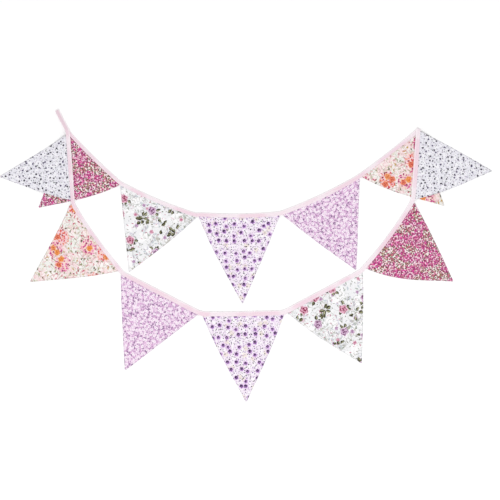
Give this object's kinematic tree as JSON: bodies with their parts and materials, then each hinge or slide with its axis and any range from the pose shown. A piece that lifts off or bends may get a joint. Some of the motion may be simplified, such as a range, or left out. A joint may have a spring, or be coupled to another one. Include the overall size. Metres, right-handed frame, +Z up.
{
  "type": "fabric bunting",
  "caption": "Printed cotton triangle pennants sewn to one folded binding tape, laid flat in two swags with a diagonal fold and a short bare tail.",
  "frame": {"origin": "middle of the lay at the level of the surface that it rests on", "axes": "+X to the right across the lay, +Y up the lay towards the tail, +Z up from the surface"},
  "size_m": [1.1063, 0.6565, 0.0075],
  "materials": {
    "magenta_ditsy": "matt printed cotton, dense hot pink and plum ditsy flowers",
    "white_rose": "matt printed cotton, sparse rose sprays on a pale grey-white ground",
    "violet_dot": "matt printed cotton, round violet flowers on a pale lilac-white ground",
    "lilac": "matt printed cotton, dense small pale flowers on a lilac ground",
    "cream_floral": "matt printed cotton, orange and pink flower clusters on cream",
    "pale_ditsy": "matt printed cotton, tiny purple buds on a pale blue-lilac ground",
    "binding": "pale pink cotton binding tape, folded and stitched"
  },
  "bodies": {
    "root": {"binding": "binding", "pennant_01": "magenta_ditsy", "pennant_02": "white_rose", "pennant_03": "violet_dot", "pennant_04": "lilac", "pennant_05": "cream_floral", "pennant_06": "pale_ditsy", "pennant_07": "magenta_ditsy", "pennant_08": "white_rose", "pennant_09": "violet_dot", "pennant_10": "lilac", "pennant_11": "cream_floral", "pennant_12": "pale_ditsy"}
  },
  "joints": []
}
